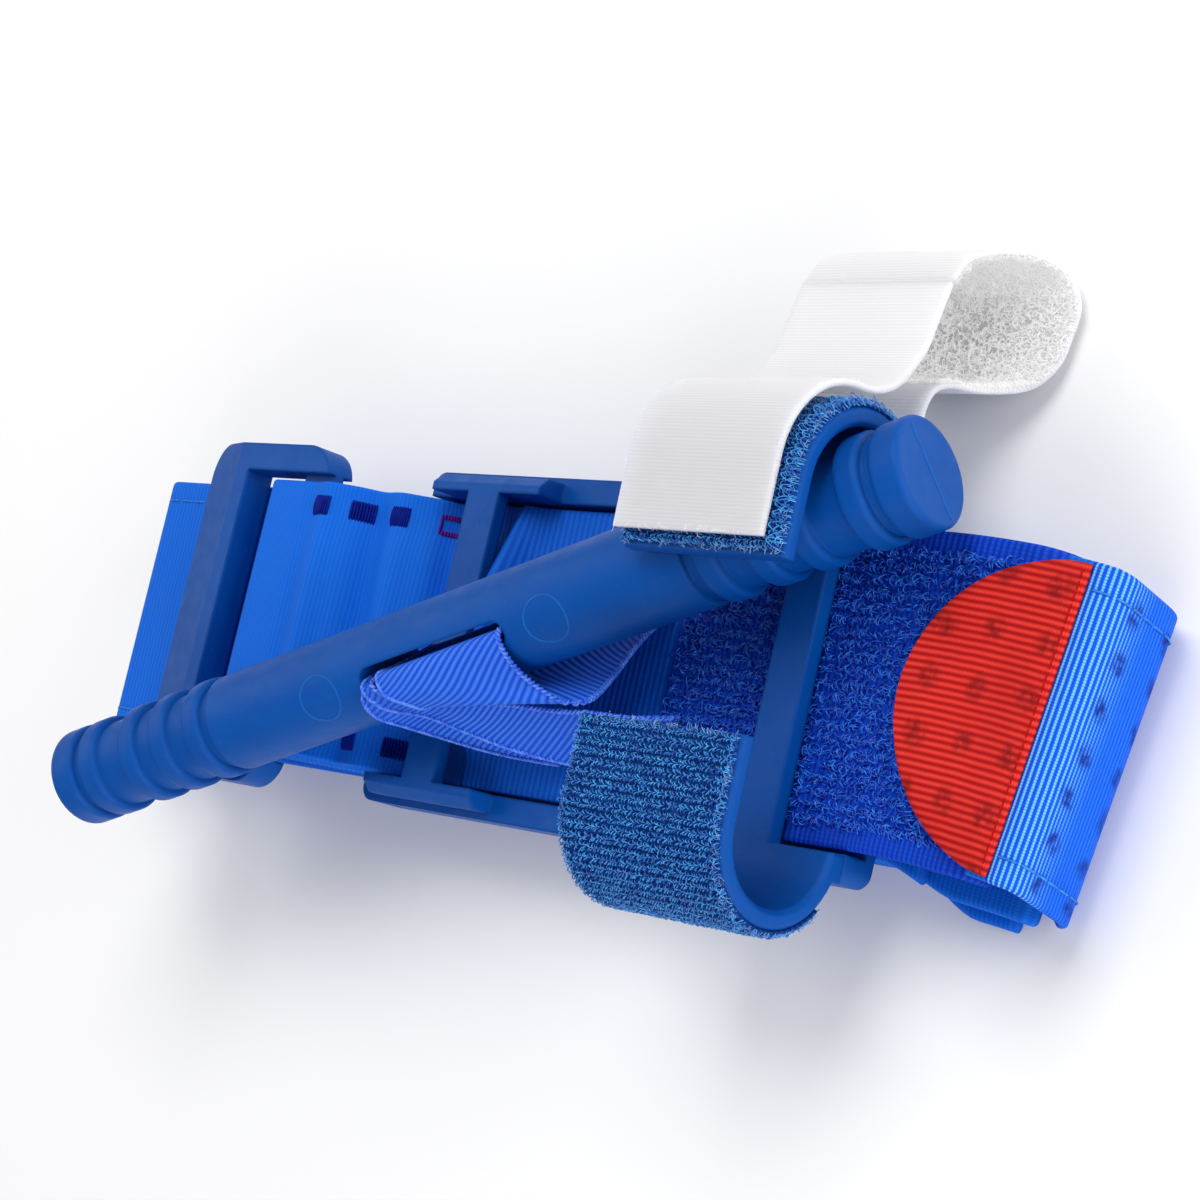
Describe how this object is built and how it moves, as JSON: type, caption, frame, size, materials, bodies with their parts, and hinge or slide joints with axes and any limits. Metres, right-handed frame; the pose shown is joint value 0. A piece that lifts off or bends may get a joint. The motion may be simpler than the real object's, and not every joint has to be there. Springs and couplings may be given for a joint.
{
  "type": "windlass tourniquet",
  "caption": "Folded limb tourniquet: webbing band, buckle, stiff plate, ringed rod through a ribbon, paired hooks to lock the rod, hook-and-loop strap and a rounded pull tab.",
  "frame": {"origin": "on the back face of the lowest band layer, under the windlass pivot along the band and on the band's middle line", "axes": "+X along the band from the buckle to the pull tab, +Y across the band towards the hook that holds the rod, +Z away from the limb"},
  "size_m": [0.1755, 0.0889, 0.0369],
  "materials": {
    "moulded_plastic": "satin moulded nylon",
    "hook_tape": "woven hook tape",
    "white_loop": "napped white loop tape with a ribbed back",
    "sleeve_webbing": "fine ribbed webbing",
    "dark_thread": "dense bar-tack thread",
    "ribbon": "grosgrain ribbon",
    "loop_pile": "brushed loop pile",
    "band_webbing": "ribbed webbing",
    "edge_thread": "sewing thread",
    "red_webbing": "ribbed red webbing"
  },
  "bodies": {
    "band": {"stabilization_plate": "moulded_plastic", "windlass_clip": "moulded_plastic", "hook_tape_rear": "hook_tape", "hook_tape_front": "hook_tape", "time_strap_anchor": "white_loop", "buckle_sleeve": "sleeve_webbing", "sleeve_lining": "sleeve_webbing", "clip_sleeve": "sleeve_webbing", "sleeve_bartacks_rear": "dark_thread", "sleeve_bartacks_front": "dark_thread", "inner_ribbon_left": "ribbon", "inner_ribbon_right": "ribbon", "ribbon_riser_left": "ribbon", "ribbon_riser_right": "ribbon", "pile_band": "loop_pile", "band_layers_upper": "band_webbing", "band_layers_lower": "band_webbing", "band_edge_thread": "edge_thread", "tail_turn": "band_webbing", "tail_edge_thread": "edge_thread"},
    "windlass": {"windlass_rod": "moulded_plastic"},
    "strap_tip": {"time_strap_tip": "white_loop"},
    "buckle": {"buckle_frame": "moulded_plastic"},
    "tail": {"tail_end": "band_webbing", "red_tab": "red_webbing", "tab_seam_thread": "edge_thread"}
  },
  "joints": [
    {"name": "windlass_turn", "type": "hinge", "parent": "band", "child": "windlass", "pos_m": [0, -0.0022, 0.0265], "axis": [0, 0, 1], "range_deg": [-38, 0], "deforming": ["ribbon_riser_left", "ribbon_riser_right"]},
    {"name": "time_strap_peel", "type": "hinge", "parent": "band", "child": "strap_tip", "pos_m": [0.0458, 0.049, 0.0136], "axis": [1, 0, 0], "range_deg": [-90, 0]},
    {"name": "buckle_tilt", "type": "hinge", "parent": "band", "child": "buckle", "pos_m": [-0.04485, 0, 0.0185], "axis": [0, 1, 0], "range_deg": [0, 4.5]},
    {"name": "tab_peel", "type": "hinge", "parent": "band", "child": "tail", "pos_m": [0.0842, -0.0035, 0.0157], "axis": [0.0698, 0.9976, 0], "range_deg": [0, 90]}
  ]
}
